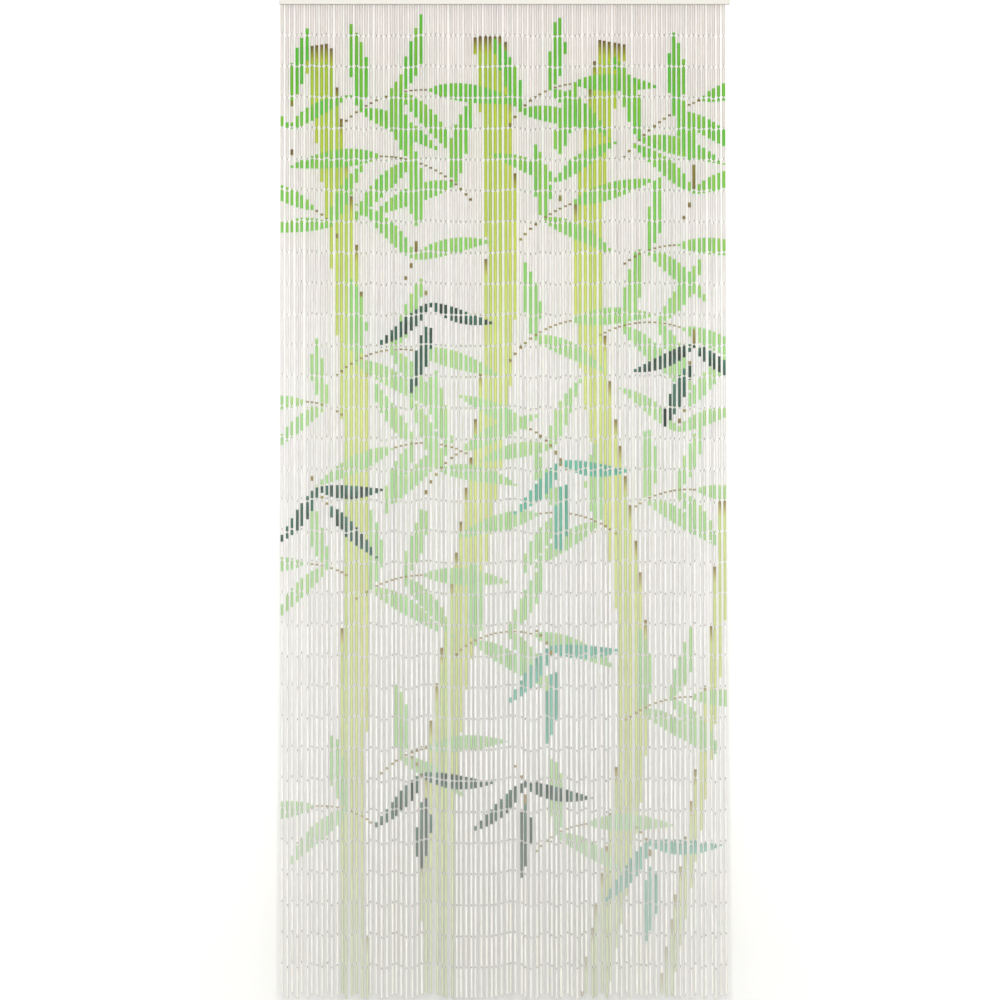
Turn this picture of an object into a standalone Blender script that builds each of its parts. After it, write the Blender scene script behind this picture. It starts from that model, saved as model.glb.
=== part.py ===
"""Bamboo bead door curtain: a wooden rail and ninety strands of bamboo tubes, hanging straight down.

Metres, +Z up. The front of the curtain faces -Y and its width runs along X.
The origin is the centre of the rail's back face, which lies against the head of the door frame.
"""

import math
from collections import namedtuple

import bmesh
import bpy

# Driving dimensions
RAIL_LENGTH = 0.900
RAIL_HEIGHT = 0.010
RAIL_DEPTH = 0.020
RAIL_EDGE = 0.0012  # rounding of the rail's edges
RAIL_EDGE_STEPS = 2

STRANDS = 90
STRAND_PITCH = 0.00992
TOP_TUBE_WIDTH = 0.0062  # outside of a bamboo tube at the rail; they grow slimmer downwards
END_TUBE_WIDTH = 0.0050
TUBES_PER_STRAND = 32
TUBE_PITCH = 0.062  # from the top of one tube to the top of the next
JOINT_GAP = 0.0035  # between two tubes, where their wire loops hook together
JOINT_WIDTH = 0.0020  # across the hooked loops

EYE_ROW_HEIGHT = 0.0012  # the row of wire eyes under the rail
EYE_ROW_SHIFT = -0.0035  # the row's middle from the rail's, so more of the rail shows at its right end
CLEARANCE = 0.0003

# One joint in this many is cut into each strand, so that the mesh stays light. The cut rows shift by the
# stagger from strand to strand, so that every row of joints shows.
NOTCH_EVERY = 7
NOTCH_STAGGER = 3

# Unevenness of the hanging strands: how far each thing strays, in metres, and the phase it runs through
Drift = namedtuple("Drift", "size turn start")
EYE_DRIFT = Drift(size=0.0007, turn=2.3, start=0.4)  # sideways, from the eye's own place
LEAN_DRIFT = Drift(size=0.0010, turn=1.7, start=1.1)  # sideways, at the lower end
DEPTH_DRIFT = Drift(size=0.0006, turn=2.9, start=0.3)  # forwards and back, at the lower end
LENGTH_DRIFT = Drift(size=0.0055, turn=3.1, start=2.0)  # one strand against its neighbours, at the lower end
ROW_WAVE = Drift(size=0.0013, turn=0.19, start=0.8)  # slow rise and fall of a row of joints
TOP_SHARE = 0.2  # how much of the length drift is there at the top; the rest grows tube by tube
SPREAD = 0.0055  # how far out the right-hand strand stands at its lower end; the left-hand one hangs plumb

# Colours as seen, 0 to 1
RAIL_COLOUR = (0.93, 0.90, 0.86)
BAMBOO_COLOUR = (0.90, 0.88, 0.83)
RAIL_ROUGHNESS = 0.45
BAMBOO_ROUGHNESS = 0.50

EYE_ROW_TOP = -RAIL_HEIGHT / 2 - CLEARANCE
EYE_ROW_BOTTOM = EYE_ROW_TOP - EYE_ROW_HEIGHT
STRAND_DEPTH = -RAIL_DEPTH / 2
TUBE_LENGTH = TUBE_PITCH - JOINT_GAP
STRAND_LENGTH = TUBES_PER_STRAND * TUBE_PITCH - JOINT_GAP


def clear_scene():
    """Removes whatever the opened file holds."""
    for old in list(bpy.data.objects):
        bpy.data.objects.remove(old)


def linear(colour):
    """A colour as seen, as the linear values that a shader takes."""
    return tuple(c / 12.92 if c <= 0.04045 else ((c + 0.055) / 1.055) ** 2.4 for c in colour)


def make_material(name, colour, roughness):
    """A plain painted or bare wood finish."""
    material = bpy.data.materials.new(name)
    material.use_nodes = True
    shader = material.node_tree.nodes["Principled BSDF"]
    shader.inputs["Base Color"].default_value = (*linear(colour), 1.0)
    shader.inputs["Roughness"].default_value = roughness
    shader.inputs["Metallic"].default_value = 0.0
    return material


def add_object(name, mesh_data, material, parent):
    """One named sub-part from a bmesh."""
    mesh = bpy.data.meshes.new(name)
    mesh_data.to_mesh(mesh)
    mesh_data.free()
    mesh.materials.append(material)
    part = bpy.data.objects.new(name, mesh)
    bpy.context.scene.collection.objects.link(part)
    part.parent = parent
    return part


def stray(drift, phase):
    """A drift's value at a phase. A squared strand number makes it irregular from strand to strand."""
    return drift.size * math.sin(drift.turn * phase + drift.start)


def strand_x(strand):
    """Where a strand's eye sits along the rail."""
    even = EYE_ROW_SHIFT + (strand - (STRANDS - 1) / 2) * STRAND_PITCH
    return even + stray(EYE_DRIFT, strand ** 2)


def strand_centre(strand, share):
    """Centre of a strand at a share of its length below the rail, from 0 to 1."""
    lean = SPREAD * strand / (STRANDS - 1) * share + stray(LEAN_DRIFT, strand ** 2) * share ** 2
    back = stray(DEPTH_DRIFT, strand ** 2) * share
    return strand_x(strand) + lean, STRAND_DEPTH + back


def rise(strand, share):
    """How much higher than the even rows a strand's joint or lower end sits, at a share of its length."""
    grown = TOP_SHARE + (1 - TOP_SHARE) * share
    return stray(ROW_WAVE, strand) + stray(LENGTH_DRIFT, strand ** 2) * grown


def tube_width(share):
    """Outside width of a strand's tubes at a share of its length."""
    return TOP_TUBE_WIDTH + (END_TUBE_WIDTH - TOP_TUBE_WIDTH) * share


def strand_rings(strand):
    """(drop below the eye row, width) of each cross-section of a strand, from top to bottom."""
    rings = []
    for joint in range(TUBES_PER_STRAND - 1):
        if (joint + NOTCH_STAGGER * strand) % NOTCH_EVERY:
            continue
        even = joint * TUBE_PITCH + TUBE_LENGTH
        share = even / STRAND_LENGTH
        above = even - rise(strand, share)
        rings += [
            (above, tube_width(share)),
            (above + JOINT_GAP / 2, JOINT_WIDTH),
            (above + JOINT_GAP, tube_width(share)),
        ]
    rings.append((STRAND_LENGTH - rise(strand, 1.0), END_TUBE_WIDTH))
    return rings


def eye_row_stations():
    """The two edges of each strand's root along the eye row, between the row's own two ends."""
    half = TOP_TUBE_WIDTH / 2
    edges = []
    for strand in range(STRANDS):
        edges += [strand_x(strand) - half, strand_x(strand) + half]
    end = half / 2
    return [edges[0] - end, *edges, edges[-1] + end]


def build_eye_row(mesh_data):
    """The strip that carries the strands. Returns its downward faces, one for each strand."""
    half = TOP_TUBE_WIDTH / 2
    corners = (
        (STRAND_DEPTH - half, EYE_ROW_TOP),
        (STRAND_DEPTH - half, EYE_ROW_BOTTOM),
        (STRAND_DEPTH + half, EYE_ROW_BOTTOM),
        (STRAND_DEPTH + half, EYE_ROW_TOP),
    )
    loops = [
        [mesh_data.verts.new((x, y, z)) for y, z in corners] for x in eye_row_stations()
    ]
    roots = []
    for number, (left, right) in enumerate(zip(loops, loops[1:])):
        for side in range(4):
            after = (side + 1) % 4
            face = mesh_data.faces.new((left[side], left[after], right[after], right[side]))
            if side == 1 and number % 2:
                roots.append(face)
    mesh_data.faces.new(loops[0])
    mesh_data.faces.new(reversed(loops[-1]))
    return roots


def grow_strand(mesh_data, root, strand):
    """Extrudes a strand down from its root on the eye row, one cross-section after another."""
    face = root
    for drop, width in strand_rings(strand):
        face = bmesh.ops.extrude_discrete_faces(mesh_data, faces=[face])["faces"][0]
        middle = face.calc_center_median()
        x, y = strand_centre(strand, drop / STRAND_LENGTH)
        for vert in face.verts:
            vert.co = (
                x + math.copysign(width / 2, vert.co.x - middle.x),
                y + math.copysign(width / 2, vert.co.y - middle.y),
                EYE_ROW_BOTTOM - drop,
            )


def build_strands(parent):
    """All strands, with their roots fused into the eye row."""
    mesh_data = bmesh.new()
    for strand, root in enumerate(build_eye_row(mesh_data)):
        grow_strand(mesh_data, root, strand)
    bmesh.ops.recalc_face_normals(mesh_data, faces=mesh_data.faces)
    return add_object("strands", mesh_data, make_material("bamboo", BAMBOO_COLOUR, BAMBOO_ROUGHNESS), parent)


def build_rail(parent):
    """The wooden batten that is fixed to the door frame."""
    mesh_data = bmesh.new()
    bmesh.ops.create_cube(mesh_data, size=1.0)
    bmesh.ops.scale(mesh_data, vec=(RAIL_LENGTH, RAIL_DEPTH, RAIL_HEIGHT), verts=mesh_data.verts)
    rail = add_object("rail", mesh_data, make_material("rail_wood", RAIL_COLOUR, RAIL_ROUGHNESS), parent)
    rail.location = (0.0, -RAIL_DEPTH / 2, 0.0)
    bevel = rail.modifiers.new("rounded edges", "BEVEL")
    bevel.width = RAIL_EDGE
    bevel.segments = RAIL_EDGE_STEPS
    return rail


def main():
    clear_scene()
    curtain = bpy.data.objects.new("curtain", None)
    bpy.context.scene.collection.objects.link(curtain)
    build_rail(curtain)
    build_strands(curtain)


main()
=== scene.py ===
"""Looks of the bamboo door curtain: each painted tube, each wire link and the rail's finish.

Metres, +Z up. The front faces -Y. Drops are measured downwards from the row of eyes under the rail.
"""

import math
from collections import namedtuple

import bpy
import numpy as np
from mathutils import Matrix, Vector

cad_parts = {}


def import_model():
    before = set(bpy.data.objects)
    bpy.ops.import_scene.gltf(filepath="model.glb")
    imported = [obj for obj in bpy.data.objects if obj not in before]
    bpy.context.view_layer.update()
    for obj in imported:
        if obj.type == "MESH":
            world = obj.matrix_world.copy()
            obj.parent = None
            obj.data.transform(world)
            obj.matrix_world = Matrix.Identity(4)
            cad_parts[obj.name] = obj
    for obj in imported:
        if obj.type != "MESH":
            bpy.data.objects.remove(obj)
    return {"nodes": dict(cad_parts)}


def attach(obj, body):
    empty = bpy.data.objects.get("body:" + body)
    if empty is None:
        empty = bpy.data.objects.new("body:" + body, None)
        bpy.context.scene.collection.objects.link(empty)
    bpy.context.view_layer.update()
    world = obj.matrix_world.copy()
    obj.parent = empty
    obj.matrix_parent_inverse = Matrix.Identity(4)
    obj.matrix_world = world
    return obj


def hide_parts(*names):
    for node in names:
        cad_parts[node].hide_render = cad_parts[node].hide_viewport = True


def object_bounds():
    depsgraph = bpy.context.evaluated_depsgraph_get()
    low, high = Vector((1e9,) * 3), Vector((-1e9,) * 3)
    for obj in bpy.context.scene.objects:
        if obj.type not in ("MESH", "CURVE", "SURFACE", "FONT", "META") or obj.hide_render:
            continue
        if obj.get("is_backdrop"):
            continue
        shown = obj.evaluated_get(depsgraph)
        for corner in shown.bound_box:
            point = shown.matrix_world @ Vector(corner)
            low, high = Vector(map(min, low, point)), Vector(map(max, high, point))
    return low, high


# The part's own dimensions
RAIL_DEPTH = 0.020
STRANDS = 90
STRAND_PITCH = 0.00992
TOP_TUBE_WIDTH = 0.0062
END_TUBE_WIDTH = 0.0050
TUBES_PER_STRAND = 32
TUBE_PITCH = 0.062
JOINT_GAP = 0.0035
EYE_ROW_SHIFT = -0.0035
EYE_ROW_BOTTOM = -0.0065
SPREAD = 0.0055
TOP_SHARE = 0.2

# Unevenness of the hanging strands: how far each thing strays, in metres, and the phase it runs through.
# The part has all of these but the last. It adds to the part's own sideways lean at the lower end, so that
# the strands are spaced as unevenly there as real ones
Drift = namedtuple("Drift", "size turn start")
EYE_DRIFT = Drift(size=0.0007, turn=2.3, start=0.4)
LEAN_DRIFT = Drift(size=0.0010, turn=1.7, start=1.1)
DEPTH_DRIFT = Drift(size=0.0006, turn=2.9, start=0.3)
LENGTH_DRIFT = Drift(size=0.0055, turn=3.1, start=2.0)
ROW_WAVE = Drift(size=0.0013, turn=0.19, start=0.8)
SWAY_DRIFT = Drift(size=0.0012, turn=1.9, start=4.4)

# Tubes
STRANDS_PER_PIECE = 5
TUBE_SIDES = 12
BORE_RADIUS = 0.0013
CHAMFER = 0.0003
FIRST_TUBE_DROP = -0.0010  # just below the rail
WIDTH_VARIES = 0.05  # from tube to tube, as a share of the width
OVAL = 0.02  # how far a tube is from round, as a share of the width
JOINT_JITTER = (0.00018, 0.0002, 0.0004)  # sideways, in depth, up and down
END_SLANT = 0.06  # most slope of a cut end, each way
SHARP_EDGE = math.radians(38)  # cut ends show as edges

# What the alpha of a face's colour says about it
CUT_GRAIN = 0.0
BARE_SKIN = 0.5
PAINTED = 1.0

# Each tube has its own cell of its piece's UV map. In shares of the cell, its skin lies along a strip with
# a chamfer at each end, and above lie the boxes of its cut ends and its bore: left, low, right, high
UV_COLUMNS = 8
SKIN_UV_START = 0.05
SKIN_UV_END = 0.95
SKIN_UV_LOW = 0.04
SKIN_UV_HIGH = 0.78
CHAMFER_UV = 0.02
LOWER_END_UV = (0.03, 0.84, 0.31, 0.90)
BORE_UV = (0.35, 0.84, 0.63, 0.96)
UPPER_END_UV = (0.67, 0.84, 0.97, 0.90)

# Wire links
WIRE_RADIUS = 0.00035
WIRE_SIDES = 4
LOOP_RADIUS = 0.00095
LOOP_OPENING = 35  # degrees from the tube's axis at which the loop turns into its two legs
LOOP_STEPS = 7
LEG_INSIDE = 0.0018  # from the loop's centre to the ends of its legs
LEG_APART = 0.0001  # from the tube's axis to each leg's end
LOOP_TWIST = 0.3  # the most that two hooked loops stray from square to each other, in radians
EYE_LIFT = 0.0002  # the eye under the rail sits this much above the middle of its gap
STRANDS_PER_WIRE_PIECE = 30
WIRE_UV_MARGIN = 0.1  # round each loop in its own cell of the UV map
WIRE_TONES = ((0.44, 0.425, 0.40), (0.64, 0.625, 0.60))  # seen colours

# The rail's seen colours, across its grain
RAIL_TONES = ((0.692, 0.680, 0.650), (0.730, 0.716, 0.687))

# The backdrop leans back, close behind the rail and further from the strands' lower ends. It ends behind
# the rail, and the white world shows above it
WALL_TOP = 0.0
WALL_TOP_Y = 0.0013
WALL_FOOT = -2.012
WALL_FOOT_Y = 0.100
WALL_HALF_WIDTH = 3.0
# The lower colour is painted shade: the backdrop darkens towards its foot so that the gaps between the
# strands look shaded there
WALL_UPPER_COLOUR = (0.930, 0.922, 0.916)
WALL_PAINTED_SHADE_COLOUR = (0.825, 0.824, 0.818)
WALL_SHADE_GRADE = (-0.8, -1.9)  # heights between which the upper colour turns into the lower one

FLOOR_HALF_WIDTH = 4.0
FLOOR_FRONT_Y = -3.0
FLOOR_BACK_Y = 4.0
FLOOR_COLOUR = (0.80, 0.795, 0.785, 1.0)  # linear
LIGHT_TARGET = (0.0, 0.0, -0.9)
WORLD_COLOUR = (1.0, 1.0, 0.99, 1.0)
WORLD_STRENGTH = 1.08

# The camera is square on and far away. Its frame is as wide as it is high
SENSOR_WIDTH = 36.0
CAMERA_DISTANCE = 18.0
FRAME_WIDTH = 2.0
FRAME_CENTRE_X = -0.009
FRAME_CENTRE_Z = -0.996

# Seen colours, 0 to 1, at the drops in FADE_STOPS, each as a share of the strand's length
FADE_STOPS = (0.06, 0.37, 0.75, 0.95)
FADES = {
    # The bare skin turns cooler and lighter towards the lower end: partly its own paler tone, partly
    # painted light for the brighter-lit lower tubes
    "bare": ((0.893, 0.871, 0.848), (0.942, 0.935, 0.930), (0.965, 0.965, 0.957), (0.952, 0.950, 0.922)),
    "leaf": ((0.23, 0.70, 0.03), (0.63, 0.845, 0.56), (0.68, 0.83, 0.64), (0.82, 0.88, 0.80)),
    "stem": ((0.68, 0.75, 0.06), (0.83, 0.87, 0.49), (0.83, 0.85, 0.62), (0.835, 0.860, 0.745)),
    "bark": ((0.36, 0.24, 0.03), (0.50, 0.40, 0.18), (0.60, 0.53, 0.40), (0.76, 0.73, 0.66)),
    "teal": ((0.03, 0.14, 0.13), (0.07, 0.155, 0.14), (0.33, 0.37, 0.36), (0.50, 0.52, 0.49)),
    "emerald": ((0.20, 0.66, 0.52), (0.34, 0.74, 0.62), (0.58, 0.79, 0.72), (0.68, 0.81, 0.75)),
}
SKIN_ALBEDO = 0.69  # the light is strong enough to whiten the backdrop, so the skin is toned down by this
END_GRAIN = (0.74, 0.66, 0.52)
END_GRAIN_VARIES = (0.85, 1.10)  # from tube to tube
FLECK = (0.68, 0.56, 0.38)
PAINT_VARIES = 0.06  # from tube to tube
TINT = 0.012  # each tube's own cast, in each colour channel
SHORTEST_DASH = 0.0025  # of paint, along a tube

# A coat runs from its upper to its lower drop. The shares say how much of the other paint is in it there
Coat = namedtuple("Coat", "upper lower paint other upper_share lower_share")
BARE = Coat(0.0, 1.0, "bare", "bare", 0.0, 0.0)
TINGES = {"leaf": "stem", "stem": "leaf", "bark": "stem", "teal": "emerald", "emerald": "teal"}
TINGE_SHARES = (0.36, 0.22)  # the most of another paint at a dash's upper and lower end
CAP_SHARES = (1.0, 0.05)  # of bark at a cap's upper and lower end

NOISE_SPAN = (0.3, 0.7)  # most of a noise's values lie in this range
BUMP_DISTANCE = 0.0002

# The painted pattern: x from the middle of the rail and drops in metres, headings in degrees clockwise
# from straight up
Stem = namedtuple("Stem", "top_x end_x sway bends start width")
STEMS = (
    Stem(top_x=-0.375, end_x=-0.265, sway=0.034, bends=1.5, start=0.080, width=0.055),
    Stem(top_x=-0.030, end_x=-0.105, sway=0.042, bends=1.8, start=0.062, width=0.062),
    Stem(top_x=0.215, end_x=0.205, sway=-0.048, bends=2.2, start=0.074, width=0.056),
    Stem(top_x=0.440, end_x=0.315, sway=0.020, bends=1.0, start=0.990, width=0.028),
)
CAP_LENGTH = 0.034  # brown where a stem begins on a strand, turning into the stem's own colour
Spray = namedtuple("Spray", "x drop heading bend length pairs leaf paint")
SPRAYS = (
    Spray(x=-0.330, drop=0.245, heading=42, bend=50, length=0.20, pairs=2, leaf=0.185, paint="leaf"),
    Spray(x=-0.425, drop=0.300, heading=350, bend=20, length=0.11, pairs=1, leaf=0.150, paint="leaf"),
    Spray(x=-0.060, drop=0.400, heading=325, bend=-55, length=0.22, pairs=2, leaf=0.185, paint="leaf"),
    Spray(x=0.005, drop=0.250, heading=25, bend=60, length=0.17, pairs=2, leaf=0.170, paint="leaf"),
    Spray(x=0.235, drop=0.310, heading=35, bend=35, length=0.20, pairs=2, leaf=0.185, paint="leaf"),
    Spray(x=0.030, drop=0.470, heading=40, bend=30, length=0.13, pairs=1, leaf=0.170, paint="leaf"),
    Spray(x=-0.330, drop=0.480, heading=350, bend=-50, length=0.09, pairs=1, leaf=0.150, paint="leaf"),
    Spray(x=0.190, drop=0.660, heading=60, bend=50, length=0.17, pairs=2, leaf=0.175, paint="leaf"),
    Spray(x=0.235, drop=0.520, heading=50, bend=40, length=0.12, pairs=1, leaf=0.170, paint="leaf"),
    Spray(x=-0.335, drop=0.740, heading=45, bend=55, length=0.17, pairs=2, leaf=0.175, paint="leaf"),
    Spray(x=-0.070, drop=0.900, heading=300, bend=-50, length=0.16, pairs=2, leaf=0.170, paint="leaf"),
    Spray(x=0.005, drop=0.720, heading=30, bend=50, length=0.16, pairs=1, leaf=0.170, paint="leaf"),
    Spray(x=-0.325, drop=0.820, heading=310, bend=-40, length=0.08, pairs=1, leaf=0.145, paint="leaf"),
    Spray(x=0.225, drop=1.060, heading=310, bend=-50, length=0.17, pairs=2, leaf=0.170, paint="leaf"),
    Spray(x=0.250, drop=1.010, heading=50, bend=45, length=0.14, pairs=2, leaf=0.160, paint="leaf"),
    Spray(x=-0.315, drop=1.140, heading=300, bend=-30, length=0.09, pairs=1, leaf=0.155, paint="leaf"),
    Spray(x=-0.300, drop=1.190, heading=50, bend=40, length=0.15, pairs=2, leaf=0.170, paint="leaf"),
    Spray(x=-0.100, drop=1.300, heading=45, bend=60, length=0.17, pairs=2, leaf=0.175, paint="leaf"),
    Spray(x=-0.260, drop=1.640, heading=310, bend=-45, length=0.13, pairs=1, leaf=0.175, paint="leaf"),
    Spray(x=-0.250, drop=1.540, heading=40, bend=40, length=0.11, pairs=1, leaf=0.160, paint="leaf"),
    Spray(x=0.240, drop=1.430, heading=50, bend=40, length=0.14, pairs=2, leaf=0.170, paint="leaf"),
    Spray(x=0.055, drop=1.700, heading=35, bend=50, length=0.13, pairs=1, leaf=0.170, paint="leaf"),
    Spray(x=0.355, drop=0.430, heading=30, bend=-40, length=0.12, pairs=1, leaf=0.170, paint="leaf"),
    Spray(x=-0.205, drop=0.560, heading=30, bend=-30, length=0.12, pairs=1, leaf=0.170, paint="leaf"),
    Spray(x=0.115, drop=0.400, heading=340, bend=30, length=0.10, pairs=1, leaf=0.155, paint="leaf"),
    Spray(x=-0.160, drop=0.980, heading=20, bend=40, length=0.12, pairs=1, leaf=0.170, paint="leaf"),
    Spray(x=0.120, drop=0.930, heading=340, bend=-40, length=0.11, pairs=1, leaf=0.160, paint="leaf"),
    Spray(x=0.345, drop=0.900, heading=345, bend=50, length=0.10, pairs=1, leaf=0.155, paint="leaf"),
    Spray(x=-0.165, drop=0.560, heading=150, bend=40, length=0.08, pairs=1, leaf=0.145, paint="teal"),
    Spray(x=0.375, drop=0.640, heading=170, bend=30, length=0.08, pairs=1, leaf=0.145, paint="teal"),
    Spray(x=-0.390, drop=0.930, heading=165, bend=-25, length=0.08, pairs=1, leaf=0.145, paint="teal"),
    Spray(x=0.090, drop=0.880, heading=140, bend=40, length=0.08, pairs=1, leaf=0.150, paint="emerald"),
    Spray(x=0.060, drop=1.250, heading=130, bend=50, length=0.09, pairs=1, leaf=0.150, paint="emerald"),
    Spray(x=-0.190, drop=1.500, heading=140, bend=40, length=0.09, pairs=1, leaf=0.155, paint="teal"),
    Spray(x=0.255, drop=1.640, heading=130, bend=50, length=0.09, pairs=1, leaf=0.160, paint="emerald"),
    Spray(x=0.020, drop=1.520, heading=150, bend=30, length=0.08, pairs=1, leaf=0.150, paint="teal"),
)
LEAF_ANGLE = 50  # degrees between a side leaf and its twig
LEAF_BEND = 24  # degrees that a side leaf curves outwards
TIP_LEAF_BEND = 0.25  # of the leaf at the twig's tip, as a share of the twig's bend
LEAF_FATNESS = 0.098  # half width as a share of the length
LEAF_SKEW = 0.8  # below 1 moves the widest place towards the stalk
LEAF_FULLNESS = 0.8  # below 1 makes the outline fuller towards both ends
LEAF_TIP = 0.0003  # half width at both ends
LEAF_SHRINK = 0.12  # how much shorter side leaves get along a twig, as a share

# A twig is as many spaces long as it has pairs of leaves, and a part of a space more. Its first pair sits a
# part of a space from its start
FIRST_SPACE = 0.6
TIP_SPACE = 0.25
TWIG_HALF_WIDTH = 0.0016
OUTLINE_STEPS = 25
STEM_STEPS = 90
STEM_PAST_END = 0.02  # stems run on below the strands' lower ends

STRAND_DEPTH = -RAIL_DEPTH / 2
TUBE_LENGTH = TUBE_PITCH - JOINT_GAP
STRAND_LENGTH = TUBES_PER_STRAND * TUBE_PITCH - JOINT_GAP
rng = np.random.default_rng(20)  # always the same draws


def stray(drift, phase):
    """A drift's value at a phase. A squared strand number makes it irregular from strand to strand."""
    return drift.size * np.sin(drift.turn * phase + drift.start)


def strand_x(strand):
    """Where a strand's eye sits along the rail."""
    even = EYE_ROW_SHIFT + (strand - (STRANDS - 1) / 2) * STRAND_PITCH
    return even + stray(EYE_DRIFT, strand**2)


def strand_centre(strand, share):
    """x and y of a strand at shares of its length below the rail, from 0 to 1."""
    lean = SPREAD * strand / (STRANDS - 1) * share + stray(LEAN_DRIFT, strand**2) * share**2
    back = stray(DEPTH_DRIFT, strand**2) * share
    return strand_x(strand) + lean, STRAND_DEPTH + back


def rise(strand, share):
    """How much higher than the even rows a strand's joint or lower end sits."""
    grown = TOP_SHARE + (1 - TOP_SHARE) * share
    return stray(ROW_WAVE, strand) + stray(LENGTH_DRIFT, strand**2) * grown


def tube_width(share):
    """Outside width of a strand's tubes at a share of its length."""
    return TOP_TUBE_WIDTH + (END_TUBE_WIDTH - TOP_TUBE_WIDTH) * share


# The painted pattern


def arc(x, drop, heading, bend, length, at):
    """Points on a line that sets out at a heading and turns by bend over its length, at shares of it."""
    steps = np.linspace(0, 1, OUTLINE_STEPS)
    angle = np.radians(heading + bend * steps)
    pace = length / (OUTLINE_STEPS - 1)
    run_x = np.concatenate([[0], np.cumsum((np.sin(angle)[1:] + np.sin(angle)[:-1]) / 2)]) * pace
    run_up = np.concatenate([[0], np.cumsum((np.cos(angle)[1:] + np.cos(angle)[:-1]) / 2)]) * pace
    return x + np.interp(at, steps, run_x), drop - np.interp(at, steps, run_up)


def band(x, drop, half_width):
    """Closed outline of a band along a line."""
    step_x = np.gradient(x)
    step_drop = np.gradient(drop)
    step = np.hypot(step_x, step_drop)
    aside = np.stack([-step_drop / step, step_x / step], axis=1) * np.reshape(half_width, (-1, 1))
    line = np.stack([x, drop], axis=1)
    return np.concatenate([line + aside, (line - aside)[::-1]])


def leaf(x, drop, heading, length, bend):
    """Outline of a pointed leaf, widest a little nearer its stalk."""
    at = np.linspace(0, 1, OUTLINE_STEPS)
    fullness = np.sin(np.pi * at**LEAF_SKEW) ** LEAF_FULLNESS
    half_width = LEAF_FATNESS * length * fullness + LEAF_TIP
    return band(*arc(x, drop, heading, bend, length, at), half_width)


def spray_shapes(spray):
    """(paint, outline) of a twig with pairs of leaves along it and one at its tip."""
    twig = (spray.x, spray.drop, spray.heading, spray.bend, spray.length)
    line = arc(*twig, np.linspace(0, 1, OUTLINE_STEPS))
    yield "bark", band(*line, np.full(OUTLINE_STEPS, TWIG_HALF_WIDTH))
    for pair in range(spray.pairs):
        at = (pair + FIRST_SPACE) / (spray.pairs + TIP_SPACE)
        x, drop = arc(*twig, at)
        heading = spray.heading + spray.bend * at
        length = spray.leaf * (1 - LEAF_SHRINK * at)
        for side in (-1, 1):
            yield spray.paint, leaf(x, drop, heading + side * LEAF_ANGLE, length, side * LEAF_BEND)
    x, drop = arc(*twig, 1.0)
    yield spray.paint, leaf(x, drop, spray.heading + spray.bend, spray.leaf, spray.bend * TIP_LEAF_BEND)


def stem_outline(stem):
    """Outline of a stem that sways from side to side on its way down."""
    drop = np.linspace(stem.start, STRAND_LENGTH + STEM_PAST_END, STEM_STEPS)
    share = (drop - stem.start) / (STRAND_LENGTH - stem.start)
    x = stem.top_x + (stem.end_x - stem.top_x) * share + stem.sway * np.sin(np.pi * stem.bends * share)
    return band(x, drop, np.full(len(drop), stem.width / 2))


def painted_shapes():
    """(paint, outline) of all shapes, with the upper coats last."""
    shapes = [("stem", stem_outline(stem)) for stem in STEMS]
    for spray in SPRAYS:
        shapes += spray_shapes(spray)
    return shapes


def crossings(outline, x):
    """Where an upright line at x runs inside an outline, as (upper, lower) drops."""
    after = np.roll(outline, -1, axis=0)
    hit = (outline[:, 0] <= x) != (after[:, 0] <= x)
    start, end = outline[hit], after[hit]
    drops = start[:, 1] + (x - start[:, 0]) / (end[:, 0] - start[:, 0]) * (end[:, 1] - start[:, 1])
    drops = np.sort(drops)
    return list(zip(drops[::2], drops[1::2]))


def strand_coats(x, shapes):
    """Coats of paint on the strand at x, in the order they were laid on."""
    coats = []
    for paint, outline in shapes:
        for upper, lower in crossings(outline, x):
            if lower - upper < SHORTEST_DASH:
                middle = (upper + lower) / 2
                upper, lower = middle - SHORTEST_DASH / 2, middle + SHORTEST_DASH / 2
            coats.append(Coat(upper, lower, paint, TINGES[paint], *rng.uniform(0, TINGE_SHARES)))
            if paint == "stem":
                coats.append(Coat(upper, upper + CAP_LENGTH, paint, "bark", *CAP_SHARES))
    return coats


def visible_coats(coats, top, end):
    """What shows between two drops: (upper, lower, coat) one below the other, with bare skin between."""
    edges = {top, end}
    for coat in coats:
        for drop in (coat.upper, coat.lower):
            if top + SHORTEST_DASH / 2 < drop < end - SHORTEST_DASH / 2:
                edges.add(drop)
    edges = sorted(edges)
    shown = []
    for upper, lower in zip(edges, edges[1:]):
        middle = (upper + lower) / 2
        coat = BARE
        for laid in coats:
            if laid.upper <= middle < laid.lower:
                coat = laid
        if shown and (coat is shown[-1][2] or lower - upper < SHORTEST_DASH / 3):
            shown[-1] = (shown[-1][0], lower, shown[-1][2])
        else:
            shown.append((upper, lower, coat))
    return shown


# Meshes


def linear(colour):
    """Colours as seen, as the linear values that a shader takes."""
    colour = np.asarray(colour, dtype=float)
    return np.where(colour <= 0.04045, colour / 12.92, ((colour + 0.055) / 1.055) ** 2.4)


def faded(paint, drop):
    """A paint's linear colour at a drop."""
    stops = np.array(FADES[paint])
    share = drop / STRAND_LENGTH
    return linear([np.interp(share, FADE_STOPS, stops[:, channel]) for channel in range(3)]) * SKIN_ALBEDO


def coat_colour(coat, drop):
    """A coat's colour at a drop, with its tinge of another paint."""
    down = (drop - coat.upper) / (coat.lower - coat.upper)
    tinge = coat.upper_share + (coat.lower_share - coat.upper_share) * down
    return faded(coat.paint, drop) * (1 - tinge) + faded(coat.other, drop) * tinge


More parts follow.
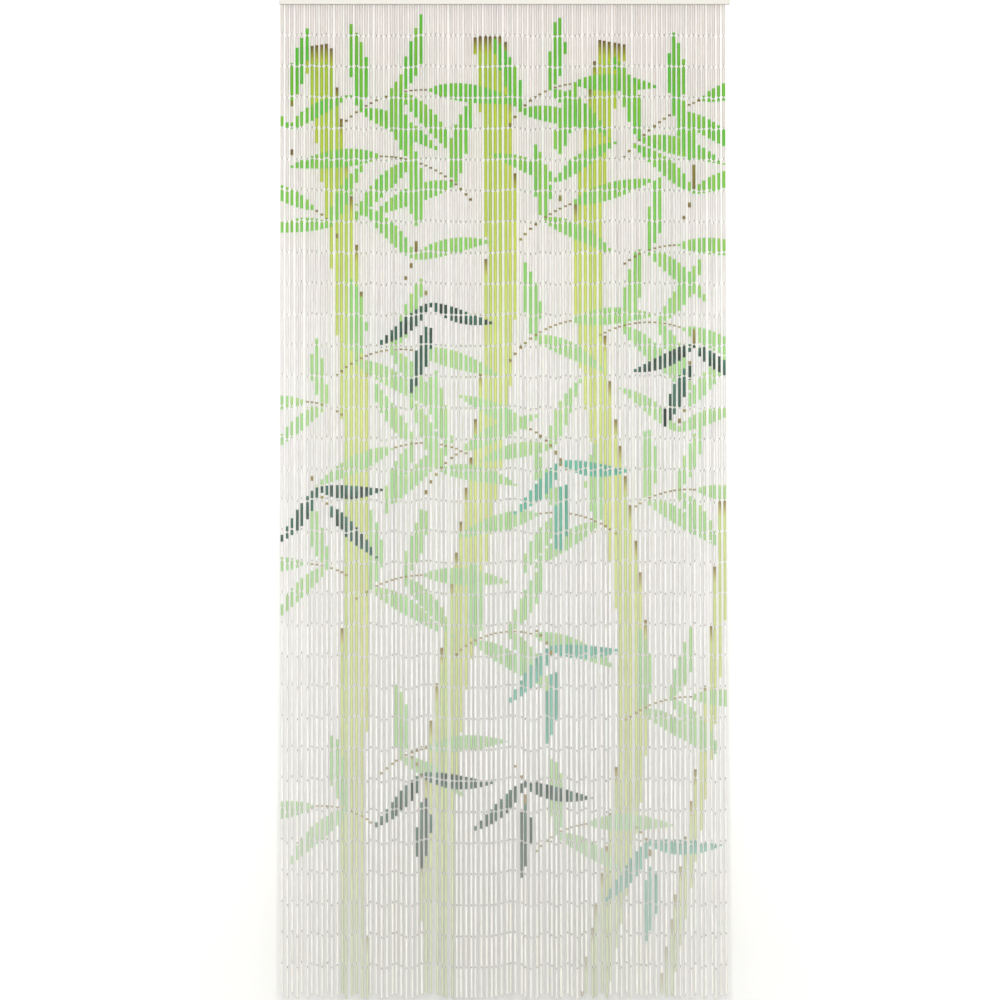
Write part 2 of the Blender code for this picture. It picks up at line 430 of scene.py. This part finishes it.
class Tubing:
    """Collects lofted tubes, with a colour and a UV place for each face corner, into one mesh."""

    def __init__(self):
        self.verts = []
        self.faces = []
        self.colours = []
        self.uvs = []
        self.count = 0

    def add(self, rings, bands, closed):
        """Joins neighbouring rings by faces. Each band has the colours and UV box of one row of faces."""
        number, sides = rings.shape[:2]
        start = self.count
        self.verts.append(rings.reshape(-1, 3))
        self.count += number * sides
        side = np.arange(sides)
        after = (side + 1) % sides
        rows = number if closed else number - 1
        for row in range(rows):
            this = start + row * sides
            below = start + (row + 1) % number * sides
            self.faces.append(np.stack([this + side, this + after, below + after, below + side], axis=1))
            upper, lower, (u0, v0, u1, v1), along_u = bands[row]
            self.colours.append(np.tile([upper, upper, lower, lower], (sides, 1, 1)))
            near, far = side / sides, (side + 1) / sides
            if along_u:
                corners = [(u0, near), (u0, far), (u1, far), (u1, near)]
                uv = [(np.full(sides, u), v0 + (v1 - v0) * v) for u, v in corners]
            else:
                corners = [(near, v0), (far, v0), (far, v1), (near, v1)]
                uv = [(u0 + (u1 - u0) * u, np.full(sides, v)) for u, v in corners]
            self.uvs.append(np.stack([np.stack(pair, axis=1) for pair in uv], axis=1))

    def finish(self, name, material, sharp_edge):
        """Makes the piece. Edges sharper than the given angle aren't smoothed."""
        mesh = bpy.data.meshes.new(name)
        mesh.from_pydata(np.concatenate(self.verts).tolist(), [], np.concatenate(self.faces).tolist())
        paint = mesh.color_attributes.new("paint", "FLOAT_COLOR", "CORNER")
        paint.data.foreach_set("color", np.concatenate(self.colours).astype(np.float32).ravel())
        uv_map = mesh.uv_layers.new(name="OFBake")
        uv_map.data.foreach_set("uv", np.concatenate(self.uvs).astype(np.float32).ravel())
        mesh.materials.append(material)
        mesh.shade_smooth()
        mesh.set_sharp_from_angle(angle=sharp_edge)
        piece = bpy.data.objects.new(name, mesh)
        bpy.context.scene.collection.objects.link(piece)
        return piece


def joint_points(strand):
    """x, y and drop of the upper edge of each joint, between the first point under the rail and the end."""
    even = np.arange(TUBES_PER_STRAND - 1) * TUBE_PITCH + TUBE_LENGTH
    share = np.concatenate([[0], even / STRAND_LENGTH, [1]])
    drop = np.concatenate([[FIRST_TUBE_DROP - JOINT_GAP], even, [STRAND_LENGTH]])
    drop[1:] -= rise(strand, share[1:])
    x, y = strand_centre(strand, share)
    x = x + stray(SWAY_DRIFT, strand**2) * share
    points = np.stack([x, y, drop], axis=1)
    jitter = rng.uniform(-1, 1, points.shape) * JOINT_JITTER
    points[1:] += jitter[1:]
    return points


def tube_rings(top, bottom, radius, breaks):
    """Cross-sections of one tube, down its outside and back up its bore."""
    angle = np.arange(TUBE_SIDES) / TUBE_SIDES * 2 * np.pi
    oval = 1 + OVAL * np.cos(2 * angle + rng.uniform(0, 2 * np.pi))
    slants = rng.uniform(-END_SLANT, END_SLANT, (2, 2))
    outside = [(top[2], radius - CHAMFER, 0), (top[2] + CHAMFER, radius, 0)]
    outside += [(drop, radius, None) for drop in breaks]
    outside += [(bottom[2] - CHAMFER, radius, 1), (bottom[2], radius - CHAMFER, 1)]
    stations = outside + [(bottom[2], BORE_RADIUS, 1), (top[2], BORE_RADIUS, 0)]
    rings = np.zeros((len(stations), TUBE_SIDES, 3))
    for ring, (drop, wide, end) in zip(rings, stations):
        share = (drop - top[2]) / (bottom[2] - top[2])
        x = wide * oval * np.cos(angle)
        y = wide * oval * np.sin(angle)
        ring[:, 0] = top[0] + (bottom[0] - top[0]) * share + x
        ring[:, 1] = top[1] + (bottom[1] - top[1]) * share + y
        tilt = 0 if end is None else slants[end] @ np.stack([x, y])
        ring[:, 2] = EYE_ROW_BOTTOM - drop + tilt
    return rings


def tube_bands(top, bottom, shown, cell):
    """Colours and UV box of each row of a tube's faces, in the order of its cross-sections."""
    left, low, width, height = cell
    length = bottom[2] - top[2]

    def box(u0, v0, u1, v1):
        return left + u0 * width, low + v0 * height, left + u1 * width, low + v1 * height

    def skin_box(u0, u1):
        return box(u0, SKIN_UV_LOW, u1, SKIN_UV_HIGH)

    grain = (*linear(END_GRAIN) * rng.uniform(*END_GRAIN_VARIES), CUT_GRAIN)
    tube_tone = rng.uniform(1 - PAINT_VARIES, 1 + PAINT_VARIES / 2) * rng.uniform(1 - TINT, 1 + TINT, 3)
    strip = SKIN_UV_END - SKIN_UV_START
    bands = []
    for upper, lower, coat in shown:
        skin = BARE_SKIN if coat is BARE else PAINTED
        tones = [(*coat_colour(coat, drop) * tube_tone, skin) for drop in (upper, lower)]
        u0, u1 = (SKIN_UV_START + strip * (drop - top[2]) / length for drop in (upper, lower))
        bands.append((*tones, skin_box(u0, u1), True))
    upper_tone = bands[0][0]
    lower_tone = bands[-1][1]
    bands.insert(0, (upper_tone, upper_tone, skin_box(SKIN_UV_START - CHAMFER_UV, SKIN_UV_START), True))
    bands.append((lower_tone, lower_tone, skin_box(SKIN_UV_END, SKIN_UV_END + CHAMFER_UV), True))
    bands += [(grain, grain, box(*place), False) for place in (LOWER_END_UV, BORE_UV, UPPER_END_UV)]
    return bands


def build_tubes(shapes, material):
    """The tubes of all strands, a few strands to a piece. Returns the pieces and every strand's joints."""
    pieces, joints = [], []
    rows = STRANDS_PER_PIECE * TUBES_PER_STRAND // UV_COLUMNS
    for first in range(0, STRANDS, STRANDS_PER_PIECE):
        tubing = Tubing()
        for strand in range(first, first + STRANDS_PER_PIECE):
            points = joint_points(strand)
            joints.append(points)
            coats = strand_coats(strand_x(strand), shapes)
            for tube in range(TUBES_PER_STRAND):
                top = points[tube] + (0, 0, JOINT_GAP)
                bottom = points[tube + 1]
                share = (top[2] + bottom[2]) / 2 / STRAND_LENGTH
                radius = tube_width(share) / 2 * rng.uniform(1 - WIDTH_VARIES, 1 + WIDTH_VARIES)
                shown = visible_coats(coats, top[2] + CHAMFER, bottom[2] - CHAMFER)
                place = (strand - first) * TUBES_PER_STRAND + tube
                column, row = place % UV_COLUMNS, place // UV_COLUMNS
                cell = (column / UV_COLUMNS, row / rows, 1 / UV_COLUMNS, 1 / rows)
                rings = tube_rings(top, bottom, radius, [lower for _, lower, _ in shown[:-1]])
                tubing.add(rings, tube_bands(top, bottom, shown, cell), closed=True)
        pieces.append(tubing.finish(f"tubes_{first // STRANDS_PER_PIECE:02d}", material, SHARP_EDGE))
    return pieces, joints


def loop_template():
    """Rings of a hanging wire loop about its own centre: down a leg, round the bottom and up again."""
    turns = np.radians(np.linspace(90 + LOOP_OPENING, 450 - LOOP_OPENING, LOOP_STEPS))
    across = np.concatenate([[-LEG_APART], LOOP_RADIUS * np.cos(turns), [LEG_APART]])
    up = np.concatenate([[LEG_INSIDE], LOOP_RADIUS * np.sin(turns), [LEG_INSIDE]])
    run = np.stack([np.gradient(across), np.gradient(up)], axis=1)
    run /= np.linalg.norm(run, axis=1, keepdims=True)
    rings = np.zeros((len(across), WIRE_SIDES, 3))
    for side in range(WIRE_SIDES):
        turn = side / WIRE_SIDES * 2 * np.pi
        out = WIRE_RADIUS * np.cos(turn)
        rings[:, side, 0] = across - run[:, 1] * out
        rings[:, side, 1] = WIRE_RADIUS * np.sin(turn)
        rings[:, side, 2] = up + run[:, 0] * out
    return rings


def placed_loop(template, centre, turn, upright):
    """The loop turned about the strand's line, and stood on its head where it reaches up from a tube."""
    loop = template * (1, -1, -1) if upright else template
    cos, sin = math.cos(turn), math.sin(turn)
    x = loop[:, :, 0] * cos - loop[:, :, 1] * sin
    y = loop[:, :, 0] * sin + loop[:, :, 1] * cos
    return np.stack([x, y, loop[:, :, 2]], axis=2) + centre


def strand_loops(points):
    """(centre, turn, upright) of each loop of a strand, from the eye under the rail to the last tube."""
    step = 2 * LOOP_RADIUS - 2 * WIRE_RADIUS  # between the centres of two hooked loops
    for number, (x, y, drop) in enumerate(points):
        turn = rng.uniform(0, np.pi)
        middle = EYE_ROW_BOTTOM - drop - JOINT_GAP / 2
        if number == 0:
            middle += EYE_LIFT
        if number == TUBES_PER_STRAND:
            yield (x, y, EYE_ROW_BOTTOM - drop - LOOP_RADIUS / 2), turn, False
            continue
        yield (x, y, middle + step / 2), turn, False
        across = turn + np.pi / 2 + rng.uniform(-LOOP_TWIST, LOOP_TWIST)
        yield (x, y, middle - step / 2), across, True


def build_wires(joints, material):
    """All the hooked wire loops, in a few pieces."""
    template = loop_template()
    shares = np.linspace(WIRE_UV_MARGIN, 1 - WIRE_UV_MARGIN, len(template))
    loops_per_strand = 2 * TUBES_PER_STRAND + 1
    columns = math.ceil(math.sqrt(STRANDS_PER_WIRE_PIECE * loops_per_strand))
    plain = (1.0, 1.0, 1.0, 1.0)  # the wire's material has its own colours
    pieces = []
    for first in range(0, STRANDS, STRANDS_PER_WIRE_PIECE):
        tubing = Tubing()
        place = 0
        for points in joints[first : first + STRANDS_PER_WIRE_PIECE]:
            for centre, turn, upright in strand_loops(points):
                left, low = place % columns / columns, place // columns / columns
                edges = left + shares / columns
                v0, v1 = low + shares[0] / columns, low + shares[-1] / columns
                bands = [(plain, plain, (u0, v0, u1, v1), True) for u0, u1 in zip(edges, edges[1:])]
                tubing.add(placed_loop(template, centre, turn, upright), bands, closed=False)
                place += 1
        pieces.append(tubing.finish(f"links_{first // STRANDS_PER_WIRE_PIECE}", material, math.pi))
    return pieces


# Materials


def node_material(name):
    """A new material with its node tree and its shader."""
    material = bpy.data.materials.new(name)
    material.use_nodes = True
    tree = material.node_tree
    return material, tree, tree.nodes["Principled BSDF"]


def stretched_noise(tree, stretch, scale, detail=2.0):
    """Noise in the object's own metres, stretched along an axis by a scale below 1 there."""
    place = tree.nodes.new("ShaderNodeTexCoord")
    mapping = tree.nodes.new("ShaderNodeMapping")
    mapping.inputs["Scale"].default_value = stretch
    noise = tree.nodes.new("ShaderNodeTexNoise")
    noise.inputs["Scale"].default_value = scale
    noise.inputs["Detail"].default_value = detail
    tree.links.new(place.outputs["Object"], mapping.inputs["Vector"])
    tree.links.new(mapping.outputs["Vector"], noise.inputs["Vector"])
    return noise.outputs["Fac"]


def ranged(tree, value, span, result):
    """A value from one range, as a value in another."""
    node = tree.nodes.new("ShaderNodeMapRange")
    for name, number in zip(("From Min", "From Max", "To Min", "To Max"), (*span, *result)):
        node.inputs[name].default_value = number
    tree.links.new(value, node.inputs["Value"])
    return node.outputs["Result"]


def product(tree, first, second):
    """One value times another."""
    node = tree.nodes.new("ShaderNodeMath")
    node.operation = "MULTIPLY"
    tree.links.new(first, node.inputs[0])
    tree.links.new(second, node.inputs[1])
    return node.outputs["Value"]


def toned(tree, colour, value):
    """A colour times a grey value."""
    node = tree.nodes.new("ShaderNodeVectorMath")
    node.operation = "SCALE"
    tree.links.new(colour, node.inputs[0])
    tree.links.new(value, node.inputs["Scale"])
    return node.outputs["Vector"]


def mixed(tree, factor, first, second):
    """Between two colours by a factor. Each is an output or a colour as seen."""
    node = tree.nodes.new("ShaderNodeMix")
    node.data_type = "RGBA"
    tree.links.new(factor, node.inputs["Factor"])
    for name, colour in (("A", first), ("B", second)):
        socket = next(i for i in node.inputs if i.name == name and i.type == "RGBA")
        if isinstance(colour, tuple):
            socket.default_value = (*linear(colour), 1.0)
        else:
            tree.links.new(colour, socket)
    return next(o for o in node.outputs if o.type == "RGBA")


def bumped(tree, shader, height, strength):
    """Gives a shader fine relief."""
    bump = tree.nodes.new("ShaderNodeBump")
    bump.inputs["Strength"].default_value = strength
    bump.inputs["Distance"].default_value = BUMP_DISTANCE
    tree.links.new(height, bump.inputs["Height"])
    tree.links.new(bump.outputs["Normal"], shader.inputs["Normal"])


def bamboo_material():
    """Bleached or painted skin with fine lengthwise fibres, rough where the grain is cut."""
    material, tree, shader = node_material("bamboo_painted")
    paint = tree.nodes.new("ShaderNodeVertexColor")
    paint.layer_name = "paint"
    fibres = stretched_noise(tree, stretch=(1.0, 1.0, 0.03), scale=1500.0)
    blotches = stretched_noise(tree, stretch=(1.0, 1.0, 0.25), scale=110.0)
    flecks = stretched_noise(tree, stretch=(1.0, 1.0, 0.05), scale=2600.0, detail=1.0)
    streaks = ranged(tree, fibres, NOISE_SPAN, (0.86, 1.05))
    patches = ranged(tree, blotches, NOISE_SPAN, (0.95, 1.02))
    skin = toned(tree, paint.outputs["Color"], product(tree, streaks, patches))
    fleck = ranged(tree, flecks, (0.58, 0.70), (0.0, 1.0))
    showing = ranged(tree, paint.outputs["Alpha"], (BARE_SKIN, PAINTED), (0.34, 0.20))
    fleck_share = product(tree, fleck, showing)
    tree.links.new(mixed(tree, fleck_share, skin, FLECK), shader.inputs["Base Color"])
    roughness = ranged(tree, paint.outputs["Alpha"], (CUT_GRAIN, PAINTED), (0.80, 0.42))
    uneven = ranged(tree, fibres, NOISE_SPAN, (0.85, 1.15))
    tree.links.new(product(tree, roughness, uneven), shader.inputs["Roughness"])
    shader.inputs["Specular IOR Level"].default_value = 0.3
    bumped(tree, shader, fibres, strength=0.6)
    return material


def wire_material():
    """Dull galvanised wire, a little darker in patches."""
    material, tree, shader = node_material("galvanised_wire")
    patches = stretched_noise(tree, stretch=(1.0, 1.0, 1.0), scale=900.0)
    tree.links.new(mixed(tree, patches, *WIRE_TONES), shader.inputs["Base Color"])
    shader.inputs["Metallic"].default_value = 0.85
    shader.inputs["Roughness"].default_value = 0.42
    return material


def rail_material():
    """Pale painted wood with its grain faintly showing along the rail."""
    material, tree, shader = node_material("pale_painted_wood")
    grain = stretched_noise(tree, stretch=(0.04, 1.0, 1.0), scale=700.0, detail=4.0)
    figure = ranged(tree, grain, (0.35, 0.65), (0.0, 1.0))
    tree.links.new(mixed(tree, figure, *RAIL_TONES), shader.inputs["Base Color"])
    tree.links.new(ranged(tree, grain, NOISE_SPAN, (0.38, 0.54)), shader.inputs["Roughness"])
    bumped(tree, shader, grain, strength=0.3)
    return material


# Stage, light and camera


def stage_plane(name, corners, material):
    """A plane of the surroundings, marked as such."""
    mesh = bpy.data.meshes.new(name)
    mesh.from_pydata(corners, [], [(0, 1, 2, 3)])
    mesh.materials.append(material)
    plane = bpy.data.objects.new(name, mesh)
    bpy.context.scene.collection.objects.link(plane)
    plane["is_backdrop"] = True
    return plane


def clear_from_behind(tree, shader):
    """Lets a stage plane show from its front only, so that it never hides the curtain."""
    place = tree.nodes.new("ShaderNodeNewGeometry")
    clear = tree.nodes.new("ShaderNodeBsdfTransparent")
    mix = tree.nodes.new("ShaderNodeMixShader")
    tree.links.new(place.outputs["Backfacing"], mix.inputs["Fac"])
    tree.links.new(shader.outputs["BSDF"], mix.inputs[1])
    tree.links.new(clear.outputs["BSDF"], mix.inputs[2])
    tree.links.new(mix.outputs["Shader"], tree.nodes["Material Output"].inputs["Surface"])


def backdrop_material():
    """White, graded to a slightly darker foot: painted shade that darkens the gaps between the strands'
    lower ends.
    """
    material, tree, shader = node_material("backdrop_white_painted_shade")
    place = tree.nodes.new("ShaderNodeNewGeometry")
    split = tree.nodes.new("ShaderNodeSeparateXYZ")
    tree.links.new(place.outputs["Position"], split.inputs["Vector"])
    # Painted shade: the backdrop turns darker towards the foot
    grade = ranged(tree, split.outputs["Z"], WALL_SHADE_GRADE, (0.0, 1.0))
    tree.links.new(mixed(tree, grade, WALL_UPPER_COLOUR, WALL_PAINTED_SHADE_COLOUR), shader.inputs["Base Color"])
    shader.inputs["Roughness"].default_value = 0.9
    shader.inputs["Specular IOR Level"].default_value = 0.0
    clear_from_behind(tree, shader)
    return material


def floor_material():
    """Plain and pale."""
    material, tree, shader = node_material("floor_pale")
    shader.inputs["Base Color"].default_value = FLOOR_COLOUR
    shader.inputs["Roughness"].default_value = 0.8
    clear_from_behind(tree, shader)
    return material


def area_light(name, place, width, height, power):
    """A soft light aimed at the curtain."""
    light = bpy.data.lights.new(name, "AREA")
    light.shape = "RECTANGLE"
    light.size = width
    light.size_y = height
    light.energy = power
    lamp = bpy.data.objects.new(name, light)
    bpy.context.scene.collection.objects.link(lamp)
    lamp.location = place
    aim = Vector(LIGHT_TARGET) - Vector(place)
    lamp.rotation_euler = aim.to_track_quat("-Z", "Y").to_euler()
    return lamp


def build_backdrop():
    """The leaning backdrop and the floor at its foot."""
    wall = [
        (-WALL_HALF_WIDTH, WALL_FOOT_Y, WALL_FOOT),
        (WALL_HALF_WIDTH, WALL_FOOT_Y, WALL_FOOT),
        (WALL_HALF_WIDTH, WALL_TOP_Y, WALL_TOP),
        (-WALL_HALF_WIDTH, WALL_TOP_Y, WALL_TOP),
    ]
    floor = [
        (-FLOOR_HALF_WIDTH, FLOOR_FRONT_Y, WALL_FOOT),
        (FLOOR_HALF_WIDTH, FLOOR_FRONT_Y, WALL_FOOT),
        (FLOOR_HALF_WIDTH, FLOOR_BACK_Y, WALL_FOOT),
        (-FLOOR_HALF_WIDTH, FLOOR_BACK_Y, WALL_FOOT),
    ]
    backdrop = stage_plane("backdrop", wall, backdrop_material())
    stage_plane("floor", floor, floor_material())
    return backdrop


def build_light(backdrop):
    """A soft light from the front, one from behind that the backdrop doesn't shade, and the white world."""
    area_light("front_soft", place=(0.0, -9.0, -0.3), width=1.4, height=2.6, power=495.0)
    back_light = area_light("back_soft", place=(0.0, 7.0, 2.6), width=4.0, height=3.0, power=225.0)
    not_shading = bpy.data.collections.new("not_shading_the_back_light")
    not_shading.objects.link(backdrop)
    not_shading.collection_objects[0].light_linking.link_state = "EXCLUDE"
    back_light.light_linking.blocker_collection = not_shading
    world = bpy.data.worlds.new("soft_light")
    world.use_nodes = True
    background = world.node_tree.nodes["Background"]
    background.inputs["Color"].default_value = WORLD_COLOUR
    background.inputs["Strength"].default_value = WORLD_STRENGTH
    bpy.context.scene.world = world
    bpy.context.scene.view_settings.view_transform = "Standard"


def build_camera():
    """A long lens, level and square to the curtain."""
    data = bpy.data.cameras.new("camera")
    data.sensor_width = SENSOR_WIDTH
    data.lens = SENSOR_WIDTH * CAMERA_DISTANCE / FRAME_WIDTH
    data.clip_end = 100.0
    camera = bpy.data.objects.new("camera", data)
    bpy.context.scene.collection.objects.link(camera)
    camera.location = (FRAME_CENTRE_X, STRAND_DEPTH - CAMERA_DISTANCE, FRAME_CENTRE_Z)
    camera.rotation_euler = (math.radians(90), 0.0, 0.0)
    bpy.context.scene.camera = camera


def main():
    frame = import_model()
    cad_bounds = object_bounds()
    tubes, joints = build_tubes(painted_shapes(), bamboo_material())
    links = build_wires(joints, wire_material())
    for piece, slot in [(piece, "bamboo") for piece in tubes] + [(piece, "link_wire") for piece in links]:
        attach(piece, "root")
    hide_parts("strands")
    rail = frame["nodes"]["rail"]
    rail.data.materials.clear()
    rail.data.materials.append(rail_material())
    build_light(build_backdrop())
    build_camera()
    sizes = {"cad": cad_bounds, "visual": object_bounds()}
    {name: [list(corner) for corner in box] for name, box in sizes.items()}


main()
